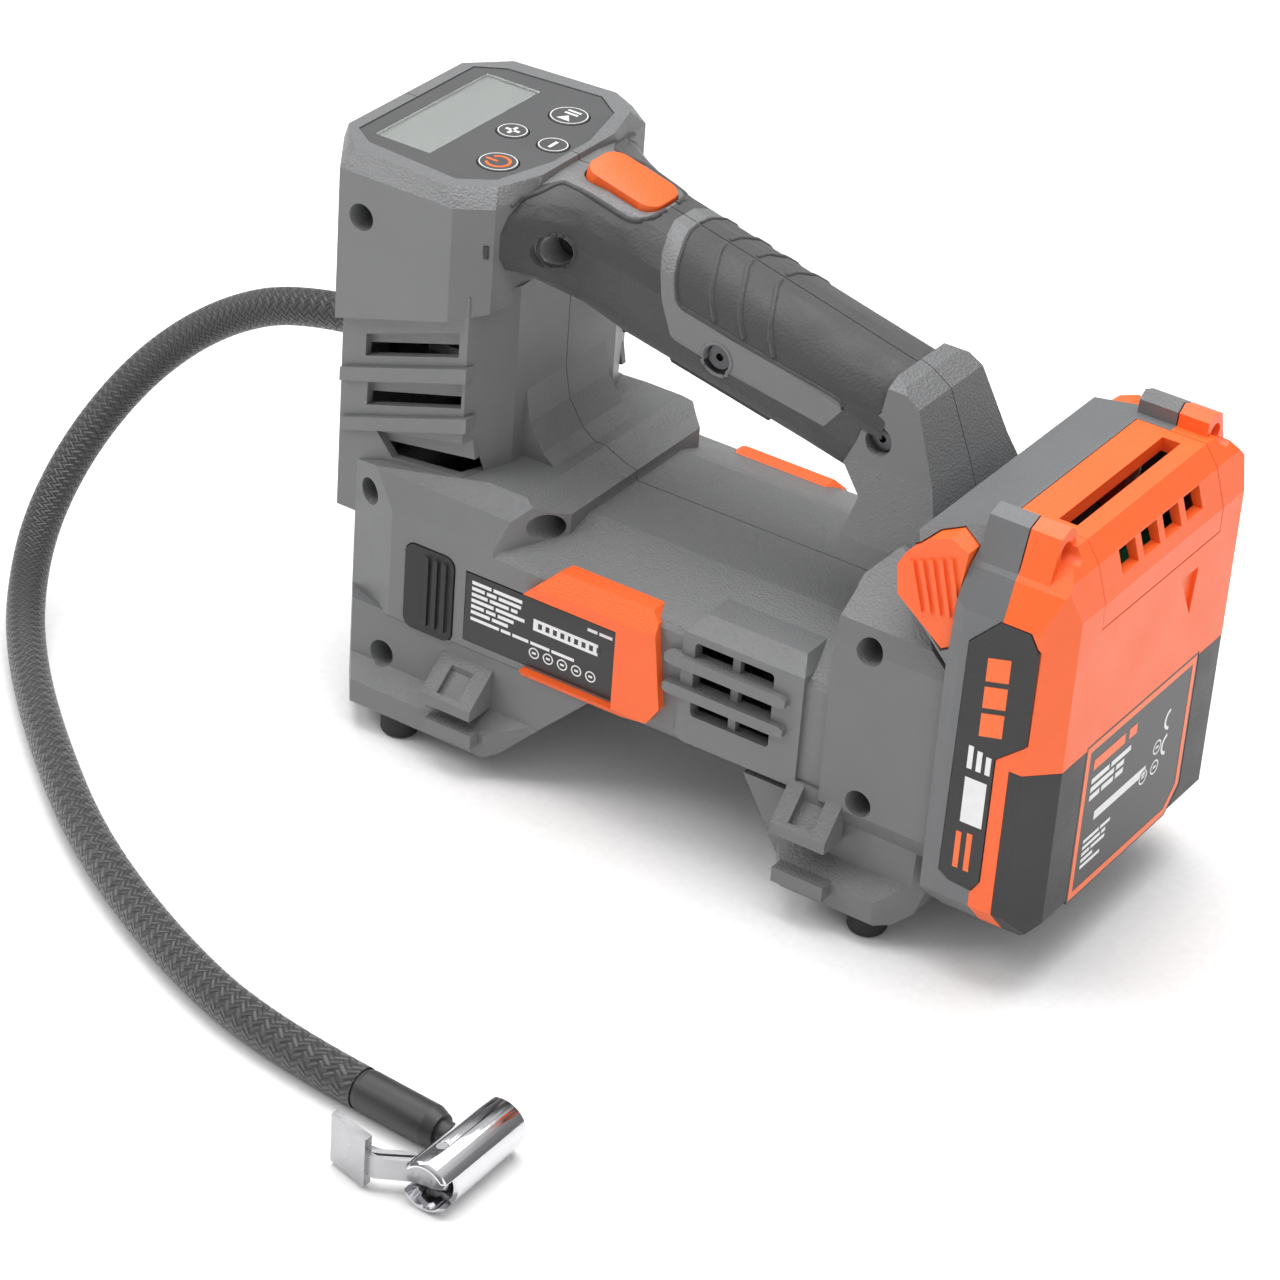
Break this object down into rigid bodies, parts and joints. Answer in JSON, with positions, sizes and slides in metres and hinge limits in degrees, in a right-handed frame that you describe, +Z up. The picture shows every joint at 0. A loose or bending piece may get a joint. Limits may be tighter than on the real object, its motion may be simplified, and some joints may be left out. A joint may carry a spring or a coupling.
{
  "type": "tyre inflator",
  "caption": "Cordless hand-held tyre inflator with a pressure display on top, a sloping handle, a slide-on battery pack and a braided air hose with a lever valve chuck.",
  "frame": {"origin": "on the ground, under the middle of the tool with its battery; the hose and chuck are left out of that middle", "axes": "+X runs along the tool from the control head to the battery, +Y is the side away from the hose end (the chuck lies at -Y), +Z is up"},
  "size_m": [0.3157, 0.2586, 0.1597],
  "materials": {
    "foot_rubber": "matt",
    "grey_plastic": "fine spark-eroded texture",
    "screw_steel": "dark zinc",
    "grip_rubber": "fine textured soft skin",
    "key_plastic": "satin",
    "panel_plastic": "satin",
    "clear_plastic": "polished",
    "display": "smooth",
    "circuit_board": "solder mask",
    "orange_plastic": "satin",
    "black_plastic": "satin",
    "label": "printed film",
    "gear_steel": "machined",
    "bearing_steel": "ground",
    "motor_steel": "zinc plated",
    "rotor_iron": "laminated",
    "pump_aluminium": "die cast",
    "tube_rubber": "smooth",
    "sensor_steel": "plain",
    "dark_grey_plastic": "satin",
    "spring_steel": "plain",
    "cell_can": "shrink sleeve",
    "contact_brass": "plated",
    "hose_braid": "braided sleeve",
    "ferrule": "crimped",
    "chuck_chrome": "bright",
    "pin_steel": "peened",
    "seal_rubber": "matt",
    "lever_zinc": "cast"
  },
  "bodies": {
    "tool": {"rubber_feet": "foot_rubber", "housing_left": "grey_plastic", "housing_right": "grey_plastic", "battery_foot_left": "grey_plastic", "battery_foot_right": "grey_plastic", "housing_screws": "screw_steel", "grip_left": "grip_rubber", "grip_right": "grip_rubber", "control_panel": "panel_plastic", "display_window": "clear_plastic", "display_module": "display", "control_board": "circuit_board", "switch_module": "black_plastic", "grip_strip": "grip_rubber", "side_insert_left": "black_plastic", "side_insert_right": "black_plastic", "rating_plate_left": "label", "rating_plate_right": "label", "side_cover_left": "orange_plastic", "side_cover_right": "orange_plastic", "crank_bearing": "bearing_steel", "motor_can": "motor_steel", "pump_frame": "pump_aluminium", "cylinder": "pump_aluminium", "cylinder_head": "pump_aluminium", "air_pipe": "tube_rubber", "hose_gland": "black_plastic", "pressure_sensor": "sensor_steel", "drive_board": "circuit_board", "terminal_block": "black_plastic", "air_hose": "hose_braid", "hose_ferrule": "ferrule", "chuck_body": "chuck_chrome", "chuck_pin": "pin_steel", "chuck_seal": "seal_rubber"},
    "start_key": {"button_start": "key_plastic"},
    "power_key": {"button_power": "key_plastic"},
    "plus_key": {"button_plus": "key_plastic"},
    "minus_key": {"button_minus": "key_plastic"},
    "switch": {"switch_button": "orange_plastic"},
    "battery": {"battery_front_shell": "dark_grey_plastic", "battery_rear_cover": "orange_plastic", "battery_lower_shell": "black_plastic", "battery_label": "label", "battery_side_strips": "black_plastic", "battery_top_plate": "orange_plastic", "release_springs": "spring_steel", "battery_cells": "cell_can", "cell_holder": "black_plastic", "battery_board": "circuit_board", "battery_contacts": "contact_brass"},
    "release_left": {"release_button_left": "orange_plastic"},
    "release_right": {"release_button_right": "orange_plastic"},
    "motor": {"motor_shaft": "gear_steel", "motor_pinion": "gear_steel", "motor_rotor": "rotor_iron", "cooling_fan": "black_plastic"},
    "crank": {"crank_gear": "gear_steel"},
    "piston": {"connecting_rod": "pump_aluminium"},
    "lever": {"chuck_lever": "lever_zinc"}
  },
  "joints": [
    {"name": "start_press", "type": "slide", "parent": "tool", "child": "start_key", "axis": [0, 0, -1], "range_m": [0, 0.0005], "stiffness_N_per_m": 2000},
    {"name": "power_press", "type": "slide", "parent": "tool", "child": "power_key", "axis": [0, 0, -1], "range_m": [0, 0.0005], "stiffness_N_per_m": 2000},
    {"name": "plus_press", "type": "slide", "parent": "tool", "child": "plus_key", "axis": [0, 0, -1], "range_m": [0, 0.0005], "stiffness_N_per_m": 2000},
    {"name": "minus_press", "type": "slide", "parent": "tool", "child": "minus_key", "axis": [0, 0, -1], "range_m": [0, 0.0005], "stiffness_N_per_m": 2000},
    {"name": "switch_press", "type": "slide", "parent": "tool", "child": "switch", "axis": [-0.2402, 0, -0.9707], "range_m": [0, 0.0012], "stiffness_N_per_m": 1500},
    {"name": "battery_slide", "type": "slide", "parent": "tool", "child": "battery", "axis": [0, 0, 1], "range_m": [0, 0.07]},
    {"name": "release_left_press", "type": "slide", "parent": "battery", "child": "release_left", "axis": [0, 1, 0], "range_m": [0, 0.003], "stiffness_N_per_m": 800},
    {"name": "release_right_press", "type": "slide", "parent": "battery", "child": "release_right", "axis": [0, -1, 0], "range_m": [0, 0.003], "stiffness_N_per_m": 800},
    {"name": "motor_spin", "type": "hinge", "parent": "tool", "child": "motor", "pos_m": [0, 0, 0.05175], "axis": [1, 0, 0], "continuous": true},
    {"name": "crank_spin", "type": "hinge", "parent": "tool", "child": "crank", "pos_m": [-0.068, 0, 0.07575], "axis": [1, 0, 0], "continuous": true},
    {"name": "piston_stroke", "type": "slide", "parent": "tool", "child": "piston", "axis": [0, 0, 1], "range_m": [0, 0.014]},
    {"name": "lever_turn", "type": "hinge", "parent": "tool", "child": "lever", "pos_m": [0.0462, -0.1945, 0.0068], "axis": [0, 0, 1], "range_deg": [0, 90]}
  ],
  "couplings": [
    {"joint": "crank_spin", "follows": "motor_spin", "ratio": -0.25}
  ]
}
